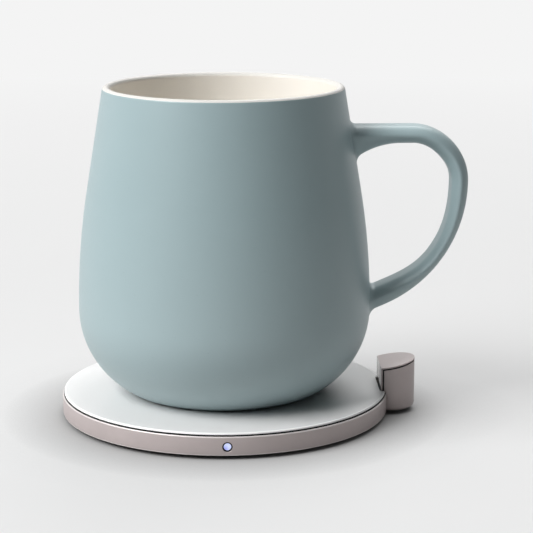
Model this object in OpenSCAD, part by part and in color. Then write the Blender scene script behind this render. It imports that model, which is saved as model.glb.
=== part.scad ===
// Self-heating mug: a stoneware mug with a wireless heater in its foot, on a round powered dock.
// The origin is on the table, on the dock's axis. +Z is up, the handle and the post point along +X,
// and the indicator in the dock's rim faces -Y. Millimetres.

/* [Mug] */
// Height of the mug from the plate to the top of its lip
mug_h = 92.8; // [86:0.2:110]
// Outer diameter at the lip
lip_d = 72.2; // [68:0.2:78]
// Outer diameter at the widest place
belly_d = 88.6; // [85:0.2:92]
// Height of the widest place above the plate
belly_z = 25.4; // [23:0.2:30]
// Height above the plate where the curved side turns straight
shoulder_z = 61; // [45:1:72]
// Outer diameter of the foot
foot_d = 56.4; // [55:0.2:64]
// Thickness of the wall, with the lining
wall_t = 2.4; // [2:0.1:3.4]
// Thickness of the cream lining
lining_t = 0.4; // [0.3:0.1:0.6]
// Thickness of the floor, with the lining
floor_t = 4; // [3:0.1:5]

/* [Handle] */
// Reach of the handle from the mug's axis
handle_reach = 73.6; // [68:0.1:80]
// Height of the handle's top above the plate
handle_top_z = 80.9; // [76:0.1:86]
// Thickness of the strap
handle_t = 4.9; // [4.6:0.1:6]
// Width of the strap
handle_w = 12.5; // [9:0.5:16]
// Radius along the strap's long edges
handle_edge_r = 2.2; // [1:0.1:2.2]
// Radius of the upper bend, at the middle of the strap
upper_bend_r = 14.5; // [12:0.1:17]
// Radius of the lower bend, at the middle of the strap
lower_bend_r = 39.1; // [34:0.1:43]
// Level length of the arm between the upper bend and the flare
flare_in = 3.6; // [2:0.1:6]
// Radius of the flare under the upper root
root_flare_r = 22; // [18:1:30]

/* [Heater in the foot] */
// Diameter of the space under the floor
space_d = 48.4; // [46:0.2:50]
// Height of the space under the floor
space_h = 8.6; // [8:0.1:9.4]
// Thickness of the heating film
film_t = 0.3; // [0.2:0.05:0.5]
// Thickness of the heater track
track_t = 0.2; // [0.1:0.05:0.4]
// Thickness of the receiver board
receiver_board_t = 0.8; // [0.6:0.1:1]
// Thickness of the receiver coil
receiver_coil_t = 0.8; // [0.6:0.1:1]
// Thickness of the receiver's ferrite sheet
receiver_ferrite_t = 0.6; // [0.4:0.1:0.8]
// Height of the receiver board's parts
receiver_parts_h = 1; // [0.7:0.1:1.2]
// Thickness of the base cap
cap_t = 1.5; // [1.2:0.1:1.8]
// Section diameter of the seal ring
seal_d = 1.1; // [0.9:0.1:1.2]
// Width of the foot ring
foot_ring_w = 2; // [1.5:0.1:2.2]
// How far the foot ring holds the stoneware off the plate
foot_ring_stand = 0.3; // [0.2:0.1:0.5]

/* [Dock] */
// Diameter of the plate
plate_d = 100; // [98:0.5:110]
// Height of the plate's top above the table
dock_h = 7.8; // [7.6:0.1:9]
// Thickness of the plate
plate_t = 1.6; // [1.2:0.1:1.8]
// Thickness of the plate's edge
plate_edge_t = 0.6; // [0.5:0.1:0.8]
// Thickness of the gasket under the plate's edge
gasket_t = 0.4; // [0.3:0.1:0.6]
// Thickness of the rim's wall
rim_t = 2; // [1.6:0.1:2.4]
// How far the rim lies inside the plate's edge
rim_inset = 0.2; // [0.1:0.1:0.4]
// Gap between the table and the rim
rim_gap = 1.2; // [1:0.1:1.4]
// Thickness of the bottom cover
cover_t = 1.4; // [1.2:0.1:1.6]
// Diameter of the rubber base pad
pad_d = 80; // [60:1:84]
// Outer diameter of the transmitter coil
transmitter_d = 48; // [40:1:50]
// Thickness of the transmitter coil
transmitter_t = 1; // [0.8:0.1:1.2]
// Thickness of the dock's ferrite sheet
dock_ferrite_t = 0.8; // [0.6:0.1:1]
// Thickness of the main board
main_board_t = 0.8; // [0.6:0.1:1]
// Diameter of the indicator's hole
lens_hole_d = 2.4; // [2:0.1:2.6]
// How far the indicator's lens lies inside its hole
lens_recess = 0.4; // [0.2:0.1:0.8]

/* [Post] */
// How far the post's flat face lies inside the plate's edge
post_inset = 2.4; // [2.2:0.1:3]
// Radius of the post's round side
post_r = 8; // [7.6:0.1:9]
// Distance from the flat face to the middle of the round side
post_depth = 2.9; // [2.3:0.1:4]
// Height of the post's top above the table, at the flat face
post_h = 14.7; // [13.6:0.1:18]
// Slope of the post's top, rising away from the mug, in degrees
post_slope = 10; // [4:0.5:16]
// Wall of the post
post_wall = 1.3; // [1:0.1:1.4]
// Radius along the post's lower edge
post_edge_r = 1.2; // [0.4:0.1:1.2]
// Width of the inlet's metal shell
shell_w = 8.94; // [8.9:0.01:9]
// Thickness of the inlet's metal shell, across its slot
shell_h = 3.16; // [3.1:0.01:3.2]
// Depth of the inlet's metal shell
shell_l = 7.3; // [6.8:0.1:7.3]
// Sheet thickness of the inlet's metal shell
shell_t = 0.3; // [0.25:0.01:0.35]

/* [Fits] */
// Gap between pieces that are screwed, glued or pushed together
seat_gap = 0.15; // [0.1:0.05:0.2]
// Gap around the post where it passes the plate and the rim
post_gap = 0.2; // [0.1:0.05:0.3]

/* [Hidden] */
$fn = 96;
side_fn = 360;
over = 1;
far = 400;

// Mug outline: a lower arc and a side arc meet upright at the belly, then a straight taper runs to the lip
lip_r = lip_d / 2;
belly_r = belly_d / 2;
foot_r = foot_d / 2;
lower_r = (pow(belly_z, 2) + pow(belly_r - foot_r, 2)) / (2 * (belly_r - foot_r));
arc_h = shoulder_z - belly_z;
taper_h = mug_h - shoulder_z;
// Tangent of half the taper's lean, closed in on from the drop that the arc and the taper share
function half_lean_tan(t, rounds) = rounds == 0 ? t
    : half_lean_tan((belly_r - lip_r) / (arc_h + 2 * taper_h / (1 - t * t)), rounds - 1);
lean_rounds = 6;
side_lean = 2 * atan(half_lean_tan(0, lean_rounds));
side_r = arc_h / sin(side_lean);
side_x = belly_r - side_r;
lower_x = belly_r - lower_r;
floor_z = space_h + floor_t;
corner_r = belly_z - floor_z;
corner_x = belly_r - wall_t - corner_r;
// The taper lies a hair inside the arc, and the lip's round a hair inside the wall, so they cross cleanly
taper_inset = 0.01;
taper_lap = 5;
lip_round = wall_t / 2 - taper_inset;
lip_mid_z = mug_h - lip_round;
lip_mid_r = lip_r - taper_inset + lip_round * tan(side_lean) - wall_t / 2 / cos(side_lean);

// Handle centreline: level arm, upper bend, lower bend
turn_x = handle_reach - handle_t / 2;
arm_z = handle_top_z - handle_t / 2;
turn_z = arm_z - upper_bend_r;
flare_turn = 45;
bend_x = turn_x - upper_bend_r;

// Heater stack, from the cap up to the floor
space_r = space_d / 2;
cap_r = space_r - seat_gap;
cap_rise = 0.2;
cap_z = foot_ring_stand + cap_rise;
coil_seat_z = cap_z + cap_t;
receiver_ferrite_z = coil_seat_z + receiver_coil_t;
parts_gap = 0.2;
receiver_board_z = receiver_ferrite_z + receiver_ferrite_t + parts_gap + receiver_parts_h;
receiver_top_z = receiver_board_z + receiver_board_t;
film_z = space_h - film_t;
track_z = film_z - track_t;
cap_wall = 2.1;
receiver_r = cap_r - cap_wall - seat_gap;
seal_slack = 0.05;
seal_r = space_r - seal_slack - seal_d / 2;
seal_z = coil_seat_z + seal_d;
sensor_r = 1;
sensor_h = 1.3;
lead_r = 0.4;
foot_land = 1;
foot_ring_r = space_r + foot_land + foot_ring_w / 2;
foot_ring_sink = 0.8;
foot_ring_h = foot_ring_stand + foot_ring_sink;
diode_angles = [45, 135, 225, 315];
diode_place_r = 12;
diode_l = 2.6;
diode_w = 4;
chip_w = 6;
chip_h = 0.9;

// Flat spirals: points in a turn, width of the strip and step from turn to turn
spiral_points = 24;
coil_strip = 1.2;
coil_step = 1.85;
coil_inner_r = 6;
track_strip = 1.4;
track_step = 2.3;
track_inner_r = 4;
track_margin = 2;
track_outer_r = space_r - track_margin;
track_turns = floor((track_outer_r - track_inner_r - track_strip) / track_step);

// Places of the two heater leads, at the inner and outer ends of the track
lead_in_x = track_inner_r + track_strip / 2;
lead_places = [lead_in_x, lead_in_x + track_turns * track_step];

// Dock levels
plate_r = plate_d / 2;
rim_r = plate_r - rim_inset;
rim_inner_r = rim_r - rim_t;
rim_top_z = dock_h - plate_edge_t - gasket_t;
cover_top_z = rim_gap + cover_t;
cover_r = rim_inner_r - seat_gap;
plate_under_z = dock_h - plate_t;
ledge_w = 1.4;
ledge_h = 0.8;
skirt_t = 1.2;
skirt_h = 1.2;
edge_bevel = 0.25;
gasket_inset = 0.3;
gasket_w = 1.4;
pad_r = pad_d / 2;
pad_sink = 0.6;

// Dock insides
transmitter_r = transmitter_d / 2;
carrier_wall = 1.5;
carrier_r = transmitter_r + seat_gap + carrier_wall;
transmitter_z = plate_under_z - seat_gap - transmitter_t;
dock_ferrite_z = transmitter_z - dock_ferrite_t;
standoff_h = 0.3;
standoff_r = 1.5;
standoff_angles = [45, 135, 225, 315];
main_board_z = cover_top_z + standoff_h;
main_top_z = main_board_z + main_board_t;
boss_r = 1.5;
boss_gap = 0.3;
boss_place_r = rim_inner_r - ledge_w - boss_gap - boss_r;
board_gap = 0.6;
main_board_r = boss_place_r - boss_r - board_gap;
carrier_gap = 1;
main_board_hole_r = carrier_r + carrier_gap;
main_mid_r = (main_board_r + main_board_hole_r) / 2;
control_angle = 225;
transistor_w = 4;
transistor_angles = [18, 36, 54, 72];
capacitor_l = 4.5;
capacitor_w = 3.2;
capacitor_h = 1.2;
capacitor_angles = [100:14:170];
inductor_w = 7;
inductor_angle = -30;
inductor_h = plate_under_z - main_top_z - parts_gap;
light_w = 1.6;
light_h = 1.1;
lens_drop = 0.2;
lens_z = (rim_gap + rim_top_z) / 2 - lens_drop;
lens_gap = 0.25;
lens_r = lens_hole_d / 2 - lens_gap;

// Screws, all of one size
screw_r = 0.7;
screw_hole_r = 0.75;
head_r = 1.4;
head_h = 0.7;
head_room = 0.1;
boss_angles = [60, 180, 300];

// Post
post_face_x = plate_r - post_inset;
post_x = post_face_x + post_depth;
flange_l = 4.2;
flange_w = 12;
flange_h = 1.4;
flange_x = post_face_x - flange_l;
flange_top_z = cover_top_z + flange_h;
post_screw_inset = 2.2;
post_screw_x = post_face_x - post_screw_inset;
post_screw_y = 4.3;
post_floor_t = 1.2;
post_floor_z = rim_gap + post_floor_t;
inlet_board_t = 1;
inlet_board_w = 5.4;
shell_room = 2.5;
shell_x = post_face_x + post_wall + shell_room + shell_h / 2;
shell_rise = 0.6;
shell_z = post_floor_z + shell_rise + shell_w / 2;
inlet_board_top = 0.4;
inlet_board_h = shell_rise + shell_w + inlet_board_top;
shell_y = -0.9;
inlet_board_y = shell_y - inlet_board_t;
tongue_t = 0.7;
tongue_w = 6.7;
tongue_block = 1.6;
tongue_l = 4.5;
power_lead_r = 0.5;
lead_gap = 0.1;
power_lead_y = inlet_board_y - power_lead_r - lead_gap;
power_lead_z = flange_top_z + lead_gap + power_lead_r;
power_lead_step = 2 * power_lead_r + lead_gap;
lead_over_board = 2;
power_lead_inner_x = main_board_r - lead_over_board;
lead_in_post = 3;
power_lead_outer_x = post_face_x + post_wall + lead_in_post;
lead_window = 0.35;

blue_grey = [0.55, 0.61, 0.63];
cream = [0.93, 0.90, 0.85];
mauve = [0.66, 0.60, 0.60];
copper = [0.72, 0.45, 0.30];
board_green = [0.10, 0.35, 0.22];
dark_part = [0.12, 0.12, 0.13];
steel = [0.75, 0.75, 0.77];

// Everything that stands on the plate and lifts with the mug
module on_plate() {
    translate([0, 0, dock_h]) children();
}

// Half plane of the mug's section above a level
module section_band(low, high) {
    translate([0, low]) square([far, high - low]);
}

// Section of the cup filled solid, with its outer face drawn in by inset
module cup_section(inset) {
    tangent_z = belly_z + (side_r - inset) * sin(side_lean);
    taper_r = side_x + (side_r - inset) * cos(side_lean) - taper_inset;
    top_z = mug_h + over;
    intersection() {
        translate([side_x, belly_z]) circle(side_r - inset, $fn = side_fn);
        section_band(belly_z, tangent_z + taper_lap);
    }
    polygon([
        [0, belly_z],
        [taper_r, belly_z],
        [taper_r, tangent_z],
        [taper_r - (top_z - tangent_z) * tan(side_lean), top_z],
        [0, top_z]
    ]);
}

// Section of the whole mug below the belly, outside
module foot_section() {
    intersection() {
        union() {
            translate([lower_x, belly_z]) circle(lower_r);
            square([lower_x, belly_z]);
        }
        section_band(foot_ring_stand, belly_z);
    }
}

// Section of the cup's inside below the belly, grown outwards by grow
module bowl_section(grow) {
    intersection() {
        union() {
            translate([corner_x, belly_z]) circle(corner_r + grow);
            translate([0, belly_z - corner_r - grow]) square([corner_x, corner_r + grow]);
        }
        section_band(0, belly_z);
    }
}

// Section of everything inside the cup at a depth of inset from its outer face
module hollow_section(inset) {
    cup_section(inset);
    bowl_section(wall_t - inset);
}

// Children drawn from the middle of the lip, with X across the wall and Y up along it
module at_lip() {
    translate([lip_mid_r, lip_mid_z]) rotate(side_lean) children();
}

// Everything above the slanted plane in which the lip's round begins
module above_lip() {
    at_lip() translate([-far / 2, 0]) square([far, far]);
}

// Half disc that rounds the lip
module lip_half(r) {
    intersection() {
        at_lip() circle(r);
        above_lip();
    }
}

// Small square across that plane, where the lip's round runs down into the wall
module lip_key(x, w) {
    at_lip() translate([x, 0]) square(w, center = true);
}

// The mug's outside filled solid
module mug_filled() {
    rotate_extrude() {
        cup_section(0);
        foot_section();
    }
}

// A flat spiral strip, from its inner radius out to its outer radius
module flat_spiral(inner_r, outer_r, strip, step, t) {
    turns = floor((outer_r - inner_r - strip) / step);
    steps = turns * spiral_points;
    function spiral_r(i) = inner_r + strip / 2 + step * i / spiral_points;
    function spiral_a(i) = 360 * i / spiral_points;
    function place(i, side) = (spiral_r(i) + side * strip / 2) * [cos(spiral_a(i)), sin(spiral_a(i))];
    near = [for (i = [0:steps]) place(i, -1)];
    outer = [for (i = [0:steps]) place(i, 1)];
    gaps = [for (i = [spiral_points:steps]) norm(near[i] - outer[i - spiral_points])];
    echo(least_gap_between_turns = min(gaps));
    linear_extrude(t) polygon(concat(near, [for (i = [steps:-1:0]) outer[i]]));
}

// A ring between two radii
module ring(outer_r, inner_r, h) {
    difference() {
        cylinder(r = outer_r, h = h);
        translate([0, 0, -over]) cylinder(r = inner_r, h = h + 2 * over);
    }
}

// A box centred on X and Y, standing on Z = 0
module block(size) {
    translate([-size.x / 2, -size.y / 2, 0]) cube(size);
}

// Children on the main board's top at a compass angle
module on_board(angle) {
    rotate([0, 0, angle]) translate([main_mid_r, 0, main_top_z]) children();
}

// A flat-headed machine screw, head down, standing on Z = 0
module screw(shank) {
    cylinder(r = head_r, h = head_h);
    translate([0, 0, head_h]) cylinder(r = screw_r, h = shank);
}

// The room a screw needs through the bottom cover
module screw_room() {
    translate([0, 0, -over]) cylinder(r = head_r + head_room, h = over + head_h);
    cylinder(r = screw_hole_r, h = far);
}

// The room a screw's head needs in the base pad, where the pad reaches it
module pad_notch() {
    translate([0, 0, -over]) cylinder(r = head_r + head_room, h = far);
}

// Children at each screw that holds the bottom cover to the plate
module at_cover_screws() {
    for (angle = boss_angles) rotate([0, 0, angle]) translate([boss_place_r, 0, 0]) children();
}

// Children at each screw that holds the post to the bottom cover
module at_post_screws() {
    for (side = [-1, 1]) translate([post_screw_x, side * post_screw_y, 0]) children();
}

// Section of the handle's strap, thickness along X
module strap_section() {
    in_t = handle_t / 2 - handle_edge_r;
    in_w = handle_w / 2 - handle_edge_r;
    square([handle_t, 2 * in_w], center = true);
    square([2 * in_t, handle_w], center = true);
    for (x = [-in_t, in_t], y = [-in_w, in_w]) translate([x, y]) circle(handle_edge_r);
}

// The strap bent about a point of the handle's plane, between two angles
module strap_bend(x, z, r, from, turn) {
    translate([x, 0, z]) rotate([90, 0, 0]) rotate([0, 0, from])
        rotate_extrude(angle = turn) translate([r, 0]) strap_section();
}

// Outline of the post seen from above, drawn in by inset
module post_outline(inset) {
    intersection() {
        translate([post_x, 0]) circle(post_r - inset);
        translate([post_face_x + inset, -far / 2]) square([far, far]);
    }
}

// The post as a solid under its sloping top, drawn in by inset, from a level up
module post_solid(inset, low, edge_r) {
    r = post_r - inset;
    intersection() {
        translate([post_x, 0, low]) rotate_extrude() {
            translate([0, edge_r]) square([r, far]);
            square([r - edge_r, far]);
            translate([r - edge_r, edge_r]) circle(edge_r);
        }
        translate([post_face_x + inset, -far / 2, 0]) cube([far, far, far]);
        translate([post_face_x, 0, post_h - inset / cos(post_slope)]) rotate([0, -post_slope, 0])
            translate([-far / 2, -far / 2, -far]) cube([far, far, far]);
    }
}

// The room that the post and its flange need in the dock
module post_room() {
    translate([0, 0, -over]) linear_extrude(far) post_outline(-post_gap);
}

// The room that the post's flange needs, up to the plate's underside
module flange_room() {
    translate([flange_x - post_gap, -flange_w / 2 - post_gap, cover_top_z - over])
        cube([far, flange_w + 2 * post_gap, plate_under_z - cover_top_z + over]);
}

// Outline of the inlet's shell, upright, grown by grow
module shell_outline(grow) {
    r = shell_h / 2 + grow;
    half = shell_w / 2 - shell_h / 2;
    square([2 * r, 2 * half], center = true);
    for (side = [-1, 1]) translate([0, side * half]) circle(r);
}

// Children extruded from the inlet's outline plane, from one Y to another
module along_inlet(from, to) {
    translate([shell_x, to, shell_z]) rotate([90, 0, 0]) linear_extrude(to - from) children();
}

module mug_body() {
    color(blue_grey) on_plate() rotate_extrude() {
        difference() {
            union() {
                cup_section(0);
                foot_section();
            }
            hollow_section(wall_t - lining_t);
            above_lip();
            square([space_r, space_h]);
            translate([foot_ring_r - foot_ring_w / 2, 0]) square([foot_ring_w, foot_ring_h]);
        }
        lip_half(lip_round - lining_t);
        lip_key(0, lip_round - lining_t);
    }
}

module inner_lining() {
    color(cream) on_plate() rotate_extrude() {
        difference() {
            hollow_section(wall_t - lining_t);
            hollow_section(wall_t);
            above_lip();
        }
        difference() {
            lip_half(lip_round);
            at_lip() circle(lip_round - lining_t);
        }
        lip_key(lining_t / 2 - lip_round, lining_t / 2);
    }
}

module handle() {
    color(blue_grey) on_plate() difference() {
        union() {
            translate([0, 0, arm_z]) rotate([0, 90, 0]) linear_extrude(bend_x) strap_section();
            strap_bend(bend_x, turn_z, upper_bend_r, 0, 90);
            strap_bend(turn_x - lower_bend_r, turn_z, lower_bend_r, -90, 90);
            strap_bend(bend_x - flare_in, arm_z - root_flare_r, root_flare_r, 90, flare_turn);
        }
        mug_filled();
    }
}

module heating_film() {
    color("darkorange") on_plate() translate([0, 0, film_z]) cylinder(r = space_r - seat_gap, h = film_t);
}

module heater_track() {
    color(copper) on_plate() translate([0, 0, track_z])
        flat_spiral(track_inner_r, track_outer_r, track_strip, track_step, track_t);
}

module mug_sensor() {
    color(dark_part) on_plate() translate([0, 0, film_z - sensor_h]) cylinder(r = sensor_r, h = sensor_h);
}

module insulation_pad() {
    color("white") on_plate() difference() {
        translate([0, 0, receiver_top_z]) cylinder(r = space_r - seat_gap, h = track_z - receiver_top_z);
        cylinder(r = sensor_r + seat_gap, h = space_h);
        for (x = lead_places) translate([x, 0, 0]) cylinder(r = lead_r + seat_gap, h = space_h);
    }
}

module heater_leads() {
    color("firebrick") on_plate() for (x = lead_places)
        translate([x, 0, receiver_top_z]) cylinder(r = lead_r, h = track_z - receiver_top_z);
}

module receiver_board() {
    color(board_green) on_plate() translate([0, 0, receiver_board_z])
        cylinder(r = cap_r, h = receiver_board_t);
}

module receiver_chip() {
    color(dark_part) on_plate() translate([0, 0, receiver_board_z - chip_h]) block([chip_w, chip_w, chip_h]);
}

module rectifier_diodes() {
    color(dark_part) on_plate() for (angle = diode_angles)
        rotate([0, 0, angle]) translate([diode_place_r, 0, receiver_board_z - receiver_parts_h])
            block([diode_l, diode_w, receiver_parts_h]);
}

module receiver_ferrite() {
    color("dimgray") on_plate() translate([0, 0, receiver_ferrite_z])
        cylinder(r = receiver_r, h = receiver_ferrite_t);
}

module receiver_coil() {
    color(copper) on_plate() translate([0, 0, coil_seat_z])
        flat_spiral(coil_inner_r, receiver_r, coil_strip, coil_step, receiver_coil_t);
}

module base_cap() {
    color(dark_part) on_plate() rotate_extrude() difference() {
        union() {
            translate([0, cap_z]) square([cap_r, cap_t]);
            translate([cap_r - cap_wall, cap_z]) square([cap_wall, receiver_board_z - cap_z]);
        }
        translate([seal_r - seal_d / 2 - seal_slack, seal_z - seal_d / 2 - seal_slack])
            square([seal_d + far, seal_d + 2 * seal_slack]);
    }
}

module base_seal() {
    color("firebrick") on_plate() translate([0, 0, seal_z]) rotate_extrude()
        translate([seal_r, 0]) circle(d = seal_d);
}

module mug_foot_ring() {
    color("dimgray") on_plate()
        ring(foot_ring_r + foot_ring_w / 2, foot_ring_r - foot_ring_w / 2, foot_ring_h);
}

module top_plate() {
    color("white") difference() {
        union() {
            rotate_extrude() {
                polygon([
                    [0, dock_h - plate_edge_t],
                    [plate_r, dock_h - plate_edge_t],
                    [plate_r, dock_h - edge_bevel],
                    [plate_r - edge_bevel, dock_h],
                    [0, dock_h]
                ]);
                translate([0, plate_under_z]) square([cover_r, plate_t - plate_edge_t]);
                translate([cover_r - skirt_t, plate_under_z - skirt_h]) square([skirt_t, skirt_h]);
            }
            at_cover_screws() translate([0, 0, cover_top_z])
                cylinder(r = boss_r, h = dock_h - plate_edge_t - cover_top_z);
        }
        at_cover_screws() translate([0, 0, cover_top_z - over])
            cylinder(r = screw_hole_r, h = plate_under_z - cover_top_z + over);
        post_room();
        flange_room();
    }
}

module plate_gasket() {
    color("black") difference() {
        translate([0, 0, rim_top_z]) ring(rim_r - gasket_inset, rim_r - gasket_inset - gasket_w, gasket_t);
        post_room();
    }
}

module rim_ring() {
    color(mauve) difference() {
        rotate_extrude() {
            translate([rim_inner_r, rim_gap]) square([rim_t, rim_top_z - rim_gap]);
            translate([rim_inner_r - ledge_w, cover_top_z]) square([ledge_w, ledge_h]);
        }
        translate([0, 0, lens_z]) rotate([90, 0, 0]) cylinder(d = lens_hole_d, h = far);
        post_room();
        flange_room();
    }
}

module bottom_cover() {
    color(dark_part) difference() {
        union() {
            translate([0, 0, rim_gap]) cylinder(r = cover_r, h = cover_t);
            for (angle = standoff_angles) rotate([0, 0, angle]) translate([main_mid_r, 0, rim_gap + pad_sink])
                cylinder(r = standoff_r, h = main_board_z - rim_gap - pad_sink);
        }
        cylinder(r = pad_r, h = rim_gap + pad_sink);
        at_cover_screws() translate([0, 0, rim_gap]) screw_room();
        at_post_screws() translate([0, 0, rim_gap]) screw_room();
        post_room();
    }
}

module base_pad() {
    color("dimgray") difference() {
        cylinder(r = pad_r, h = rim_gap + pad_sink);
        at_cover_screws() pad_notch();
        at_post_screws() pad_notch();
    }
}

module coil_carrier() {
    color("gainsboro") difference() {
        translate([0, 0, cover_top_z])
            cylinder(r = carrier_r, h = transmitter_z + transmitter_t - cover_top_z);
        translate([0, 0, dock_ferrite_z]) cylinder(r = transmitter_r + seat_gap, h = far);
    }
}

module dock_ferrite() {
    color("dimgray") translate([0, 0, dock_ferrite_z]) cylinder(r = transmitter_r, h = dock_ferrite_t);
}

module transmitter_coil() {
    color(copper) translate([0, 0, transmitter_z])
        flat_spiral(coil_inner_r, transmitter_r, coil_strip, coil_step, transmitter_t);
}

module plate_sensor() {
    color(dark_part) translate([0, 0, transmitter_z]) cylinder(r = sensor_r, h = transmitter_t);
}

module main_board() {
    color(board_green) translate([0, 0, main_board_z]) ring(main_board_r, main_board_hole_r, main_board_t);
}

module control_chip() {
    color(dark_part) on_board(control_angle) block([chip_w, chip_w, chip_h]);
}

module power_inductor() {
    color("dimgray") on_board(inductor_angle) block([inductor_w, inductor_w, inductor_h]);
}

module bridge_transistors() {
    color(dark_part) for (angle = transistor_angles)
        on_board(angle) block([transistor_w, transistor_w, chip_h]);
}

module tank_capacitors() {
    color("burlywood") for (angle = capacitor_angles)
        on_board(angle) block([capacitor_l, capacitor_w, capacitor_h]);
}

module status_light() {
    color("white") translate([0, -main_board_r + light_w / 2, main_top_z]) block([light_w, light_w, light_h]);
}

module indicator_lens() {
    inner_y = main_board_r + seat_gap;
    color("aliceblue") translate([0, -inner_y, lens_z]) rotate([90, 0, 0])
        cylinder(r = lens_r, h = rim_r - lens_recess - inner_y);
}

module post_housing() {
    color(mauve) difference() {
        union() {
            post_solid(0, rim_gap, post_edge_r);
            translate([flange_x, -flange_w / 2, cover_top_z])
                cube([flange_l + post_wall / 2, flange_w, flange_h]);
        }
        post_solid(post_wall, 0, 0);
        at_post_screws() translate([0, 0, cover_top_z - over])
            cylinder(r = screw_hole_r, h = flange_h + 2 * over);
        along_inlet(0, far) shell_outline(seat_gap);
        translate([post_face_x - over, power_lead_y - power_lead_r - lead_window, flange_top_z])
            cube([post_wall + 2 * over, 2 * (power_lead_r + lead_window), 2 * power_lead_step + lead_window]);
    }
}

module post_cover() {
    color(dark_part) translate([0, 0, rim_gap]) linear_extrude(post_floor_t)
        post_outline(post_wall + seat_gap);
}

module usb_shell() {
    color(steel) along_inlet(shell_y, shell_y + shell_l) difference() {
        shell_outline(0);
        shell_outline(-shell_t);
    }
}

module usb_tongue() {
    color(dark_part) {
        along_inlet(shell_y, shell_y + tongue_block) shell_outline(-shell_t);
        along_inlet(shell_y + tongue_block, shell_y + tongue_block + tongue_l)
            square([tongue_t, tongue_w], center = true);
    }
}

module inlet_board() {
    color(board_green) translate([shell_x - inlet_board_w / 2, inlet_board_y, post_floor_z])
        cube([inlet_board_w, inlet_board_t, inlet_board_h]);
}

module power_leads() {
    color("firebrick") for (i = [0, 1])
        translate([power_lead_inner_x, power_lead_y, power_lead_z + i * power_lead_step]) rotate([0, 90, 0])
            cylinder(r = power_lead_r, h = power_lead_outer_x - power_lead_inner_x);
}

module post_screws() {
    color(steel) at_post_screws() translate([0, 0, rim_gap]) screw(flange_top_z - rim_gap - head_h);
}

module cover_screws() {
    color(steel) at_cover_screws() translate([0, 0, rim_gap])
        screw(plate_under_z - rim_gap - head_h - seat_gap);
}

mug_body();
inner_lining();
handle();
heating_film();
heater_track();
mug_sensor();
insulation_pad();
heater_leads();
receiver_board();
receiver_chip();
rectifier_diodes();
receiver_ferrite();
receiver_coil();
base_cap();
base_seal();
mug_foot_ring();
top_plate();
plate_gasket();
rim_ring();
bottom_cover();
base_pad();
coil_carrier();
dock_ferrite();
transmitter_coil();
plate_sensor();
main_board();
control_chip();
power_inductor();
bridge_transistors();
tank_capacitors();
status_light();
indicator_lens();
post_housing();
post_cover();
usb_shell();
usb_tongue();
inlet_board();
power_leads();
post_screws();
cover_screws();
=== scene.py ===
import math

import bmesh
import bpy
from mathutils import Matrix, Vector


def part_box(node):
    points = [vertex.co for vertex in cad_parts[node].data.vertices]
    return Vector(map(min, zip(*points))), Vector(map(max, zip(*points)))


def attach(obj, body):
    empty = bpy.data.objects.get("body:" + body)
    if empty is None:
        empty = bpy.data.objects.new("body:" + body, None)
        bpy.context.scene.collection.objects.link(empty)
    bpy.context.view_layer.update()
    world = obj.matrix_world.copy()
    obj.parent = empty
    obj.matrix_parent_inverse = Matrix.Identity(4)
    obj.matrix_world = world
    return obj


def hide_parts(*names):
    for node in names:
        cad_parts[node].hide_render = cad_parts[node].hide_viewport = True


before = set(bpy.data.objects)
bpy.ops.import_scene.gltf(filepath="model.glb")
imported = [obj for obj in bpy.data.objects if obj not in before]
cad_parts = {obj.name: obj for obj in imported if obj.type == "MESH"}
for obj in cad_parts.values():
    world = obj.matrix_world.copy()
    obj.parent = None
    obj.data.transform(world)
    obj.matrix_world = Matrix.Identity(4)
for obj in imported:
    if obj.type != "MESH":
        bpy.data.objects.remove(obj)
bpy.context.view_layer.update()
mm = 0.001
rightAngle = math.pi / 2.0
closeness = {"merge": 0.002 * mm, "sliver": 0.001 * mm, "cut": 0.0005 * mm, "pick": 0.01 * mm}
print("frame loaded,", len(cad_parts), "nodes")


def vertsOf(parts):
    return [part for part in parts if isinstance(part, bmesh.types.BMVert)]


def edgesOf(parts):
    return [part for part in parts if isinstance(part, bmesh.types.BMEdge)]


# Profile drawing: a profile lies in the XZ plane and its tip is a vertex that is led on
def startProfile(r, z):
    bm = bmesh.new()
    return bm, bm.verts.new((r, 0.0, z))


def lineTo(bm, tip, *points):
    for r, z in points:
        tip = bmesh.ops.extrude_vert_indiv(bm, verts=[tip])["verts"][0]
        tip.co = (r, 0.0, z)
    return tip


def arcTo(bm, tip, centre, turn, steps):
    # a positive turn, in radians, goes from +X towards +Z
    spun = bmesh.ops.spin(bm, geom=[tip], cent=(centre[0], 0.0, centre[1]), axis=(0.0, -1.0, 0.0),
                          angle=turn, steps=steps)
    return vertsOf(spun["geom_last"])[0]


def lathe(bm, steps):
    bmesh.ops.spin(bm, geom=bm.verts[:] + bm.edges[:], cent=(0.0, 0.0, 0.0), axis=(0.0, 0.0, 1.0),
                   angle=math.tau, steps=steps, use_merge=True)
    closeMesh(bm)
    return bm


def closeMesh(bm):
    bmesh.ops.remove_doubles(bm, verts=bm.verts[:], dist=closeness["merge"])
    faceOutwards(bm)


def faceOutwards(bm):
    bmesh.ops.recalc_face_normals(bm, faces=bm.faces[:])


def moveAll(bm, vector):
    bmesh.ops.translate(bm, verts=bm.verts[:], vec=vector)


def turnAll(bm, matrix):
    bmesh.ops.rotate(bm, verts=bm.verts[:], cent=(0.0, 0.0, 0.0), matrix=matrix)


def easeEdges(bm, edges, offset, segments, clamp=False):
    bmesh.ops.bevel(bm, geom=edges, offset=offset, affect="EDGES", segments=segments, profile=0.5, material=-1,
                    clamp_overlap=clamp)


def easeCorners(bm, corners, offset, segments):
    bmesh.ops.bevel(bm, geom=corners, offset=offset, affect="VERTICES", segments=segments, profile=0.5, material=-1)


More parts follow.
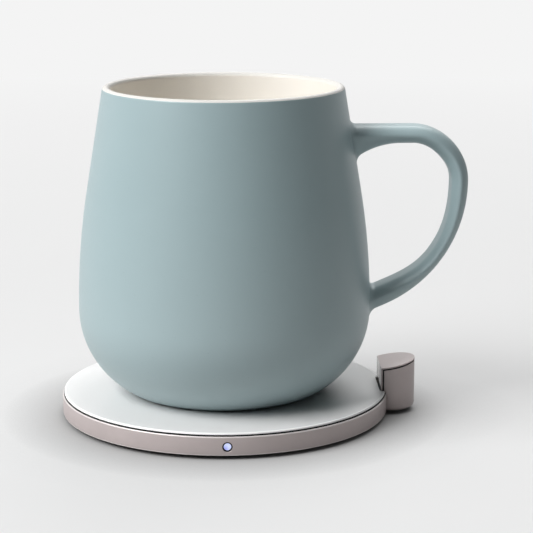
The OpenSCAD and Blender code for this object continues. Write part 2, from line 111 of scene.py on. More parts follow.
def sliceAt(bm, place, normal, clear=False):
    return bmesh.ops.bisect_plane(bm, geom=bm.verts[:] + bm.edges[:] + bm.faces[:], dist=closeness["cut"],
                                  plane_co=place, plane_no=normal, clear_outer=clear)


def cutAway(bm, place, normal, fill=True):
    # removes what lies on the normal's side of a plane and closes the cut
    cut = sliceAt(bm, place, normal, clear=True)
    if fill:
        bmesh.ops.edgeloop_fill(bm, edges=edgesOf(cut["geom_cut"]))


def raiseFace(bm, vector):
    grown = bmesh.ops.extrude_face_region(bm, geom=bm.faces[:])["geom"]
    bmesh.ops.translate(bm, verts=vertsOf(grown), vec=vector)
    faceOutwards(bm)


def boxAt(bm, size, centre, ease=0.0):
    made = bmesh.ops.create_cube(bm, size=1.0)["verts"]
    bmesh.ops.scale(bm, verts=made, vec=size)
    bmesh.ops.translate(bm, verts=made, vec=centre)
    if ease > 0.0:
        easeEdges(bm, list({edge for vert in made for edge in vert.link_edges}), ease, 2)


def toMesh(bm, name):
    mesh = bpy.data.meshes.new(name)
    bm.to_mesh(mesh)
    bm.free()
    return mesh


def carve(piece, cutterBm):
    # takes the cutter's shape out of the piece and leaves no modifier behind
    cutter = bpy.data.objects.new("cutter", toMesh(cutterBm, "cutter"))
    bpy.context.collection.objects.link(cutter)
    cut = piece.modifiers.new("carve", "BOOLEAN")
    cut.operation = "DIFFERENCE"
    cut.solver = "EXACT"
    cut.object = cutter
    depsgraph = bpy.context.evaluated_depsgraph_get()
    carved = bpy.data.meshes.new_from_object(piece.evaluated_get(depsgraph))
    piece.modifiers.clear()
    piece.data = carved
    bpy.data.objects.remove(cutter)


def finishMesh(mesh, degrees):
    # clears the slivers that carving leaves, then shades smooth up to the crease angle
    bm = bmesh.new()
    bm.from_mesh(mesh)
    bmesh.ops.remove_doubles(bm, verts=bm.verts[:], dist=closeness["sliver"])
    bmesh.ops.dissolve_degenerate(bm, edges=bm.edges[:], dist=closeness["sliver"])
    for face in bm.faces:
        face.smooth = True
    for edge in bm.edges:
        edge.smooth = edge.calc_face_angle(0.0) < math.radians(degrees)
    bm.to_mesh(mesh)
    bm.free()


def addPiece(name, bm, body, slotName, replaced=(), cutters=(), crease=30.0):
    piece = bpy.data.objects.new(name, toMesh(bm, name))
    bpy.context.collection.objects.link(piece)
    for cutter in cutters:
        carve(piece, cutter)
    piece.data.name = name
    piece.data.materials.clear()
    piece.data.materials.append(finishes[slotName])
    finishMesh(piece.data, crease)
    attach(piece, body)
    if replaced:
        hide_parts(*replaced)
    print("  piece", name, len(piece.data.polygons), "faces")
    return piece


# Node helpers
def addNode(tree, kind, **values):
    node = tree.nodes.new(kind)
    for key, value in values.items():
        setattr(node, key, value)
    return node


def setInputs(node, **values):
    for key, value in values.items():
        node.inputs[key.replace("_", " ")].default_value = value
    return node


def feed(tree, node, **sources):
    for key, source in sources.items():
        tree.links.new(source, node.inputs[key.replace("_", " ")])


def objectSpace(tree):
    return addNode(tree, "ShaderNodeTexCoord").outputs["Object"]


def objectParts(tree):
    parts = addNode(tree, "ShaderNodeSeparateXYZ")
    tree.links.new(objectSpace(tree), parts.inputs[0])
    return parts.outputs


def addTexture(tree, kind, values, **settings):
    node = setInputs(addNode(tree, kind, **settings), **values)
    feed(tree, node, Vector=objectSpace(tree))
    return node


def axisReach(tree, x=0.0):
    # distance from an upright line through (x, 0)
    flat = addNode(tree, "ShaderNodeVectorMath", operation="MULTIPLY")
    flat.inputs[1].default_value = (1.0, 1.0, 0.0)
    tree.links.new(objectSpace(tree), flat.inputs[0])
    reach = addNode(tree, "ShaderNodeVectorMath", operation="DISTANCE")
    reach.inputs[1].default_value = (x, 0.0, 0.0)
    tree.links.new(flat.outputs[0], reach.inputs[0])
    return reach.outputs["Value"]


def mapRange(tree, source, low, high, fromLow=0.0, fromHigh=1.0):
    node = addNode(tree, "ShaderNodeMapRange")
    for index, value in enumerate((fromLow, fromHigh, low, high), start=1):
        node.inputs[index].default_value = value
    tree.links.new(source, node.inputs[0])
    return node.outputs[0]


def spread(tree, grain, low, high):
    # lets the grain's usual values, 0.3 to 0.7, run from low to high
    return mapRange(tree, grain, low, high, 0.3, 0.7)


def mixColour(tree, factor, first, second):
    node = addNode(tree, "ShaderNodeMix", data_type="RGBA")
    tree.links.new(factor, node.inputs["Factor"])
    for socket, value in ((node.inputs[6], first), (node.inputs[7], second)):
        if isinstance(value, tuple):
            socket.default_value = (*value, 1.0)
        else:
            tree.links.new(value, socket)
    return node.outputs[2]


def calc(tree, operation, first, second=None):
    node = addNode(tree, "ShaderNodeMath", operation=operation)
    for socket, value in zip(node.inputs, (first, second)):
        if isinstance(value, (int, float)):
            socket.default_value = value
        elif value is not None:
            tree.links.new(value, socket)
    return node.outputs[0]


def addBump(tree, height, shader, distance):
    node = setInputs(addNode(tree, "ShaderNodeBump"), Strength=1.0, Distance=distance)
    feed(tree, node, Height=height)
    feed(tree, shader, Normal=node.outputs[0])


def newGroup(name, inputs, outputs):
    group = bpy.data.node_groups.new(name, "ShaderNodeTree")
    for label, value in inputs.items():
        socket = group.interface.new_socket(name=label, in_out="INPUT", socket_type="NodeSocketFloat")
        socket.default_value = value
    for label in outputs:
        group.interface.new_socket(name=label, in_out="OUTPUT", socket_type="NodeSocketFloat")
    return group, addNode(group, "NodeGroupInput"), addNode(group, "NodeGroupOutput")


def grainGroup():
    # fine tooth and slow clouding, both in object space
    group, given, result = newGroup("surfaceGrain", {"Fine": 2000.0, "Soft": 60.0}, ("Tooth", "Cloud"))
    for scale, label, detail in (("Fine", "Tooth", 3.0), ("Soft", "Cloud", 4.0)):
        noise = addTexture(group, "ShaderNodeTexNoise", {"Detail": detail, "Roughness": 0.55})
        feed(group, noise, Scale=given.outputs[scale])
        group.links.new(noise.outputs[0], result.inputs[label])
    return group


def speckGroup():
    # small round specks scattered over a surface, as a mask
    emptyShare = 0.72
    group, given, result = newGroup("fineSpecks", {"Scale": 900.0, "Size": 0.12}, ("Mask",))
    cells = addTexture(group, "ShaderNodeTexVoronoi", {})
    feed(group, cells, Scale=given.outputs["Scale"])
    within = calc(group, "LESS_THAN", cells.outputs["Distance"], given.outputs["Size"])
    shade = addNode(group, "ShaderNodeSeparateColor")
    group.links.new(cells.outputs["Color"], shade.inputs[0])
    rare = calc(group, "GREATER_THAN", shade.outputs[0], emptyShare)
    feed(group, result, Mask=calc(group, "MULTIPLY", within, rare))
    return group


sharedGrain = grainGroup()
sharedSpecks = speckGroup()


def useGroup(tree, group, **values):
    return setInputs(addNode(tree, "ShaderNodeGroup", node_tree=group), **values)


def newMaterial(name):
    material = bpy.data.materials.new(name)
    material.use_nodes = True
    return material, material.node_tree, material.node_tree.nodes["Principled BSDF"]


def grained(name, look):
    # a material with the grain's tooth as bump, and the cloud and roughness that its finish goes on from
    material, tree, shader = newMaterial(name)
    grain = useGroup(tree, sharedGrain, Fine=look["fine"], Soft=look["soft"])
    addBump(tree, grain.outputs["Tooth"], shader, look["tooth"])
    return material, tree, shader, grain.outputs["Cloud"], spread(tree, grain.outputs["Tooth"], *look["rough"])


def plainMaterial(name, look):
    material, tree, shader, cloud, rough = grained(name, look)
    body = mixColour(tree, spread(tree, cloud, 0.0, 1.0), look["dark"], look["light"])
    feed(tree, shader, Base_Color=body, Roughness=rough)
    setInputs(shader, Metallic=look.get("metal", 0.0), Coat_Weight=look.get("coat", 0.0),
              Specular_IOR_Level=look.get("shine", 0.5))
    return material


# Plain finishes: two shades, roughness range, noise scales and tooth depth
plainLooks = {
    "black_rubber": {"dark": (0.010, 0.010, 0.010), "light": (0.022, 0.022, 0.022), "rough": (0.6, 0.8),
                     "fine": 2600.0, "soft": 240.0, "tooth": 0.02 * mm, "shine": 0.1},
    "grey_rubber": {"dark": (0.085, 0.085, 0.088), "light": (0.12, 0.12, 0.123), "rough": (0.6, 0.85),
                    "fine": 2200.0, "soft": 160.0, "tooth": 0.03 * mm},
    "red_silicone": {"dark": (0.30, 0.035, 0.022), "light": (0.40, 0.06, 0.035), "rough": (0.4, 0.6),
                     "fine": 2400.0, "soft": 200.0, "tooth": 0.015 * mm},
    "black_plastic": {"dark": (0.020, 0.020, 0.022), "light": (0.034, 0.034, 0.036), "rough": (0.42, 0.6),
                      "fine": 3000.0, "soft": 120.0, "tooth": 0.02 * mm},
    "white_plastic": {"dark": (0.62, 0.62, 0.60), "light": (0.72, 0.72, 0.70), "rough": (0.4, 0.55),
                      "fine": 2600.0, "soft": 140.0, "tooth": 0.015 * mm},
    "ferrite": {"dark": (0.028, 0.028, 0.031), "light": (0.055, 0.055, 0.06), "rough": (0.55, 0.8),
                "fine": 1600.0, "soft": 300.0, "tooth": 0.03 * mm},
    "black_parts": {"dark": (0.016, 0.016, 0.018), "light": (0.03, 0.03, 0.032), "rough": (0.35, 0.55),
                    "fine": 4000.0, "soft": 400.0, "tooth": 0.015 * mm},
    "tan_ceramic": {"dark": (0.42, 0.28, 0.15), "light": (0.52, 0.36, 0.21), "rough": (0.3, 0.5),
                    "fine": 3000.0, "soft": 500.0, "tooth": 0.01 * mm},
    "amber_film": {"dark": (0.42, 0.17, 0.02), "light": (0.55, 0.25, 0.04), "rough": (0.2, 0.35),
                   "fine": 2000.0, "soft": 120.0, "tooth": 0.008 * mm, "coat": 0.4},
    "red_sleeve": {"dark": (0.36, 0.02, 0.02), "light": (0.48, 0.035, 0.03), "rough": (0.3, 0.45),
                   "fine": 2000.0, "soft": 300.0, "tooth": 0.01 * mm},
    "steel": {"dark": (0.48, 0.48, 0.50), "light": (0.60, 0.60, 0.62), "rough": (0.22, 0.36),
              "fine": 5000.0, "soft": 260.0, "tooth": 0.006 * mm, "metal": 1.0},
}

# Post beside the plate, whose shape the painted shade in its slot follows
post = {
    "faceX": 47.6 * mm,          # flat face towards the mug
    "roundX": 50.5 * mm,         # middle of the round side
    "faceTop": 14.7 * mm,        # height of the top at the flat face
    "slope": math.radians(10.0),
    "wall": 1.3 * mm,
    "footEase": 1.2 * mm,
    "edgeEase": 0.3 * mm,
    "seamDepth": 1.45 * mm,      # slot round the top and along the flat face, through the wall
    "seamStart": 0.4 * mm,
    "seamWidth": 0.45 * mm,
    "gap": 0.45 * mm,
    "coverGap": 0.15 * mm,
    "coverEase": 0.2 * mm,
    "turns": 128,
}


def mauveMetal():
    # satin metal with painted highlights along the rim's top and foot edges, painted shade in the post's slot and
    # hollow, and a polished flat face on the post
    look = {"dark": (0.498, 0.436, 0.428), "light": (0.536, 0.470, 0.462), "edge": (0.76, 0.71, 0.70),
            "edgeWidth": 0.3 * mm, "edgeSoft": 0.08 * mm, "polish": 0.25, "near": 0.02 * mm,
            # near-black colour of the painted shade in the post's slot and hollow, and the depth where it starts
            "inside": (0.02, 0.019, 0.019), "shadeDepth": 0.3 * mm, "metal": 0.3,
            "rough": (0.42, 0.5), "fine": 5200.0, "soft": 90.0, "tooth": 0.006 * mm}
    low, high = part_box("rim_ring")
    postFoot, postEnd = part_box("post_housing")
    material, tree, shader, cloud, satin = grained("mauve_metal", look)
    body = mixColour(tree, spread(tree, cloud, 0.0, 1.0), look["dark"], look["light"])
    x, y, z = objectParts(tree)

    def minus(first, second):
        return calc(tree, "SUBTRACT", first, second)

    def times(first, second):
        return calc(tree, "MULTIPLY", first, second)

    def isBelow(value, limit):
        return calc(tree, "LESS_THAN", value, limit)

    # painted highlight: a pale colour laid along the rim's top and foot edges
    half = (high.z - low.z) / 2.0
    start = half - look["edgeWidth"]
    offMiddle = calc(tree, "ABSOLUTE", minus(z, (low.z + high.z) / 2.0))
    ends = mapRange(tree, offMiddle, 0.0, 1.0, start - look["edgeSoft"], start)
    onRim = times(isBelow(axisReach(tree), -low.y + look["near"]), isBelow(offMiddle, half + look["near"]))
    body = mixColour(tree, times(ends, onRim), body, look["edge"])

    # painted shade: deeper than a set depth under the post's faces, its slot and hollow are coloured near black
    fromEnd = times(minus(postEnd.x, x), math.sin(post["slope"]))
    fromTop = minus(times(minus(postEnd.z, z), math.cos(post["slope"])), fromEnd)
    fromFace = minus(x, post["faceX"])
    deep = minus(postEnd.y, axisReach(tree, postEnd.x - postEnd.y))
    for depth in (fromTop, fromFace, minus(z, postFoot.z)):
        deep = calc(tree, "MINIMUM", deep, depth)
    body = mixColour(tree, calc(tree, "GREATER_THAN", deep, look["shadeDepth"]), body, look["inside"])
    onFace = isBelow(calc(tree, "ABSOLUTE", fromFace), look["near"])
    onPost = isBelow(calc(tree, "ABSOLUTE", y), postEnd.y)
    smooth = mapRange(tree, times(onFace, onPost), 1.0, look["polish"])
    feed(tree, shader, Base_Color=body, Roughness=times(satin, smooth))
    setInputs(shader, Metallic=look["metal"])
    return material


def blueGlaze():
    # satin stoneware glaze, painted paler towards the foot in place of light from below, with faint specks
    look = {"deep": (0.308, 0.404, 0.422), "body": (0.328, 0.426, 0.445), "clouding": (0.25, 0.75),
            "foot": (0.390, 0.492, 0.510), "footZ": (12.0 * mm, 70.0 * mm), "footShare": 0.8,
            "speck": (0.250, 0.328, 0.344), "speckScale": 620.0, "speckSize": 0.1, "speckShare": 0.35,
            "rough": (0.36, 0.44), "fine": 1500.0, "soft": 42.0, "tooth": 0.008 * mm}
    material, tree, shader, cloud, rough = grained("blue_glaze", look)
    body = mixColour(tree, spread(tree, cloud, *look["clouding"]), look["deep"], look["body"])
    # painted light: the colour pales towards the foot, standing in for light bounced from below
    fall = mapRange(tree, objectParts(tree)["Z"], 1.0, 0.0, *look["footZ"])
    body = mixColour(tree, calc(tree, "MULTIPLY", fall, look["footShare"]), body, look["foot"])
    specks = useGroup(tree, sharedSpecks, Scale=look["speckScale"], Size=look["speckSize"]).outputs["Mask"]
    body = mixColour(tree, calc(tree, "MULTIPLY", specks, look["speckShare"]), body, look["speck"])
    feed(tree, shader, Base_Color=body, Roughness=rough)
    return material


def creamGlaze():
    # satin cream glaze, softly clouded, with painted shade darkening the lip's top
    look = {"warm": (0.942, 0.898, 0.825), "pale": (0.945, 0.918, 0.868), "clouding": (0.2, 0.8),
            "lip": (0.66, 0.645, 0.615), "lipZ": (99.2 * mm, 100.2 * mm),
            "rough": (0.44, 0.54), "fine": 1300.0, "soft": 36.0, "tooth": 0.006 * mm}
    material, tree, shader, cloud, rough = grained("cream_glaze", look)
    inside = mixColour(tree, spread(tree, cloud, *look["clouding"]), look["warm"], look["pale"])
    # painted shade: the lip's top takes a darker colour to hold down the light it catches
    rise = mapRange(tree, objectParts(tree)["Z"], 0.0, 1.0, *look["lipZ"])
    feed(tree, shader, Base_Color=mixColour(tree, rise, inside, look["lip"]), Roughness=rough)
    return material


def whitePlate():
    # gloss white plate with a painted highlight along its edge, and the faintest wipe marks in its shine
    look = {"dark": (0.755, 0.752, 0.748), "light": (0.772, 0.769, 0.765), "edge": (0.95, 0.95, 0.945),
            "edgeWidth": 0.5 * mm, "edgeSoft": 0.1 * mm,
            "rough": (0.29, 0.34), "fine": 900.0, "soft": 26.0, "tooth": 0.001 * mm}
    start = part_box("top_plate")[1].x - look["edgeWidth"]
    material, tree, shader, cloud, rough = grained("white_plate", look)
    face = mixColour(tree, cloud, look["dark"], look["light"])
    # painted highlight: a near-white ring along the plate's edge
    edge = mapRange(tree, axisReach(tree), 0.0, 1.0, start - look["edgeSoft"], start)
    feed(tree, shader, Base_Color=mixColour(tree, edge, face, look["edge"]), Roughness=rough)
    return material


def litLens():
    # lit lens, white with blue gathering low on the left
    look = {"white": (0.50, 0.55, 0.80), "blue": (0.19, 0.22, 0.70), "blueOff": 0.55, "blueReach": 1.1,
            "dark": (0.30, 0.33, 0.40), "light": (0.36, 0.39, 0.46), "rough": (0.1, 0.2),
            "fine": 3000.0, "soft": 800.0}
    low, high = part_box("indicator_lens")
    middle = (low + high) / 2
    radius = (high.x - low.x) / 2
    off = look["blueOff"] * radius
    material, tree, shader = newMaterial("lit_lens")
    shift = setInputs(addNode(tree, "ShaderNodeMapping"), Location=(off - middle.x, 0.0, off - middle.z),
                      Scale=(1.0, 0.0, 1.0))
    feed(tree, shift, Vector=objectSpace(tree))
    reach = addNode(tree, "ShaderNodeVectorMath", operation="LENGTH")
    tree.links.new(shift.outputs[0], reach.inputs[0])
    blue = mapRange(tree, reach.outputs["Value"], 1.0, 0.0, 0.0, radius * look["blueReach"])
    grain = useGroup(tree, sharedGrain, Fine=look["fine"], Soft=look["soft"])
    feed(tree, shader, Emission_Color=mixColour(tree, blue, look["white"], look["blue"]),
         Base_Color=mixColour(tree, grain.outputs["Cloud"], look["dark"], look["light"]),
         Roughness=mapRange(tree, grain.outputs["Tooth"], *look["rough"]))
    setInputs(shader, Emission_Strength=1.0)
    return material


def copperWinding():
    # enamelled copper whose fine strands follow the turns
    look = {"dark": (0.36, 0.13, 0.055), "light": (0.62, 0.27, 0.13), "rough": (0.42, 0.24), "strand": 0.03 * mm,
            "wave": {"Scale": 1100.0, "Distortion": 0.6, "Detail": 1.0}}
    material, tree, shader = newMaterial("copper")
    strands = addTexture(tree, "ShaderNodeTexWave", look["wave"], wave_type="RINGS", rings_direction="Z").outputs["Fac"]
    feed(tree, shader, Base_Color=mixColour(tree, strands, look["dark"], look["light"]),
         Roughness=mapRange(tree, strands, *look["rough"]))
    addBump(tree, strands, shader, look["strand"])
    setInputs(shader, Metallic=1.0)
    return material


def greenBoard():
    # solder resist with a net of slightly raised tracks
    look = {"dark": (0.006, 0.085, 0.034), "light": (0.012, 0.12, 0.05), "track": (0.03, 0.22, 0.09),
            "net": {"Scale": 260.0, "Mortar_Size": 0.035, "Mortar_Smooth": 0.3}, "raised": 0.03 * mm,
            "rough": (0.28, 0.4), "fine": 2500.0, "soft": 200.0}
    material, tree, shader = newMaterial("green_board")
    tracks = addTexture(tree, "ShaderNodeTexBrick", look["net"]).outputs["Fac"]
    grain = useGroup(tree, sharedGrain, Fine=look["fine"], Soft=look["soft"])
    base = mixColour(tree, grain.outputs["Cloud"], look["dark"], look["light"])
    feed(tree, shader, Base_Color=mixColour(tree, tracks, base, look["track"]),
         Roughness=mapRange(tree, grain.outputs["Tooth"], *look["rough"]))
    addBump(tree, tracks, shader, look["raised"])
    return material


def paleFelt():
    # insulation felt with tangled fibres
    look = {"dark": (0.52, 0.51, 0.48), "light": (0.78, 0.77, 0.74), "rough": (0.85, 1.0), "fibre": 0.2 * mm,
            "tangle": {"Scale": 700.0, "Detail": 8.0, "Roughness": 0.7, "Distortion": 3.0}}
    material, tree, shader = newMaterial("felt")
    tangle = addTexture(tree, "ShaderNodeTexNoise", look["tangle"]).outputs[0]
    feed(tree, shader, Base_Color=mixColour(tree, tangle, look["dark"], look["light"]),
         Roughness=mapRange(tree, tangle, *look["rough"]))
    addBump(tree, tangle, shader, look["fibre"])
    return material


finishes = {slotName: plainMaterial(slotName, look) for slotName, look in plainLooks.items()}
finishes.update({"mauve_metal": mauveMetal(), "blue_glaze": blueGlaze(), "cream_glaze": creamGlaze(),
                 "white_plate": whitePlate(), "lit_lens": litLens(), "copper": copperWinding(),
                 "green_board": greenBoard(), "felt": paleFelt()})
print("finishes made:", len(finishes))

# Mug outline, as radii from the axis and heights above the plate
mug = {
    "lipRadius": 36.1 * mm,
    "bellyRise": 25.4 * mm,
    "shoulderRise": 61.0 * mm,
    "footRadius": 28.2 * mm,
    "wall": 2.4 * mm,
    "lining": 0.4 * mm,
    "spaceRadius": 24.2 * mm,
    "footEase": 0.5 * mm,
    "footTuck": (0.1 * mm, 0.15 * mm),
    "ringWidth": 2.0 * mm,            # soft foot ring, set in a groove
    "glazeLine": math.radians(20.0),  # how far up the lip's round the blue glaze climbs
    "turns": 192,
}
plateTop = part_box("top_plate")[1].z
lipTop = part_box("inner_lining")[1].z
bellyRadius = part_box("mug_body")[1].x
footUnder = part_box("mug_body")[0].z
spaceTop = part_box("heating_film")[1].z
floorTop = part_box("inner_lining")[0].z + mug["lining"]
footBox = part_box("mug_foot_ring")
bellyZ = plateTop + mug["bellyRise"]
shoulderZ = plateTop + mug["shoulderRise"]

# Lower arc and side arc meet upright at the belly, and a straight taper runs on to the lip
swell = bellyRadius - mug["footRadius"]
lowerArc = (mug["bellyRise"] ** 2 + swell ** 2) / (2.0 * swell)
drop = bellyRadius - mug["lipRadius"]
halfLean = 0.0
for closingIn in range(6):
    halfLean = drop / (shoulderZ - bellyZ + 2.0 * (lipTop - shoulderZ) / (1.0 - halfLean ** 2))
lean = 2.0 * math.atan(halfLean)
sideArc = (shoulderZ - bellyZ) / math.sin(lean)
lowerCentre = (bellyRadius - lowerArc, bellyZ)
sideCentre = (bellyRadius - sideArc, bellyZ)
lipRound = mug["wall"] / 2.0
lipCentre = (mug["lipRadius"] + lipRound * math.tan(lean) - lipRound / math.cos(lean), lipTop - lipRound)
cornerArc = bellyZ - floorTop
cornerCentre = (bellyRadius - mug["wall"] - cornerArc, bellyZ)


def mugRadius(z):
    # outer radius of the mug at a height
    if z < bellyZ:
        return lowerCentre[0] + math.sqrt(lowerArc ** 2 - (bellyZ - z) ** 2)
    if z < shoulderZ:
        return sideCentre[0] + math.sqrt(sideArc ** 2 - (z - bellyZ) ** 2)
    return sideCentre[0] + sideArc * math.cos(lean) - (z - shoulderZ) * math.tan(lean)


def onLip(distance, turn=0.0):
    # a point at that distance from the middle of the lip, turned from straight outwards
    angle = lean + turn
    return lipCentre[0] + distance * math.cos(angle), lipCentre[1] + distance * math.sin(angle)


def onTaper(depth):
    # the foot of the straight taper, that deep in the wall
    reach = sideArc - depth
    return sideCentre[0] + reach * math.cos(lean), sideCentre[1] + reach * math.sin(lean)


def between(low, top, shares):
    return [(low[0] + (top[0] - low[0]) * share, low[1] + (top[1] - low[1]) * share) for share in shares]


def glazeSeam(bm, tip):
    # where the shell and the lining meet, from the glaze line over the lip and down to the floor
    tip = lineTo(bm, tip, onLip(lipRound - mug["lining"], mug["glazeLine"]))
    tip = arcTo(bm, tip, lipCentre, math.pi - mug["glazeLine"], 8)
    tip = lineTo(bm, tip, onTaper(mug["wall"] - mug["lining"]))
    tip = arcTo(bm, tip, sideCentre, -lean, 12)
    tip = arcTo(bm, tip, cornerCentre, -rightAngle, 14)
    lineTo(bm, tip, (0.0, floorTop - mug["lining"]))


def mugShellProfile():
    ringTop, ringOuter = footBox[1].z, footBox[1].x
    ringInner = ringOuter - mug["ringWidth"]
    foot = mugRadius(footUnder)
    start = math.asin((bellyZ - footUnder - mug["footEase"]) / lowerArc)
    bm, tip = startProfile(0.0, spaceTop)
    tip = lineTo(bm, tip, (mug["spaceRadius"], spaceTop), (mug["spaceRadius"], footUnder),
                 (ringInner, footUnder), (ringInner, ringTop), (ringOuter, ringTop), (ringOuter, footUnder),
                 (foot - mug["footEase"], footUnder), (foot - mug["footTuck"][0], footUnder + mug["footTuck"][1]),
                 (lowerCentre[0] + lowerArc * math.cos(start), lowerCentre[1] - lowerArc * math.sin(start)))
    tip = arcTo(bm, tip, lowerCentre, start, 28)
    tip = arcTo(bm, tip, sideCentre, lean, 20)
    tip = lineTo(bm, tip, *between(onTaper(0.0), onLip(lipRound), (0.25, 0.5, 0.75, 1.0)))
    tip = arcTo(bm, tip, lipCentre, mug["glazeLine"], 5)
    glazeSeam(bm, tip)
    return bm


def liningProfile():
    bm, tip = startProfile(0.0, floorTop)
    tip = lineTo(bm, tip, *[(cornerCentre[0] * share, floorTop) for share in (0.35, 0.7, 1.0)])
    tip = arcTo(bm, tip, cornerCentre, rightAngle, 20)
    tip = arcTo(bm, tip, sideCentre, lean, 16)
    tip = lineTo(bm, tip, *between(onTaper(mug["wall"]), onLip(-lipRound), (0.5, 1.0)))
    tip = arcTo(bm, tip, lipCentre, mug["glazeLine"] - math.pi, 14)
    glazeSeam(bm, tip)
    return bm


# Strap handle: a level arm, an upper bend and a lower bend, with filleted roots
handle = {
    "thickness": 4.9 * mm,
    "armDepth": 5.4 * mm,          # depth of the strap along its run, taken off its inside
    "bendDepth": 5.9 * mm,
    "sideDepth": 5.3 * mm,
    "lowDepth": 4.3 * mm,
    "rootDepth": 6.4 * mm,
    "ridgeRun": 1.03 * mm,         # from the shoulder out to the ridge along each side
    "sideEase": 2.2 * mm,
    "ridgeEase": 0.4 * mm,
    "crown": 0.2,                  # how much the faces fall away towards the ridges
    "upperBend": 14.5 * mm,
    "lowerBend": 39.1 * mm,
    "lowerSweep": math.radians(67.0),
    "thinnestAt": math.radians(32.0),
    "thickensAt": math.radians(36.0),
    "rootFlare": 22.0 * mm,
    "flareIn": 3.6 * mm,           # level arm between the bend and the flare
    "fillet": 1.8 * mm,
    "filletEnd": 0.02 * mm,        # how far the fillet's last ring dips under the wall
    "sunk": 0.4 * mm,
    "upperSteps": 24,
    "lowerSteps": 30,
    "filletSteps": 6,
}


def easeBetween(first, second, share):
    share = min(max(share, 0.0), 1.0)
    return first + (second - first) * (0.5 - 0.5 * math.cos(math.pi * share))


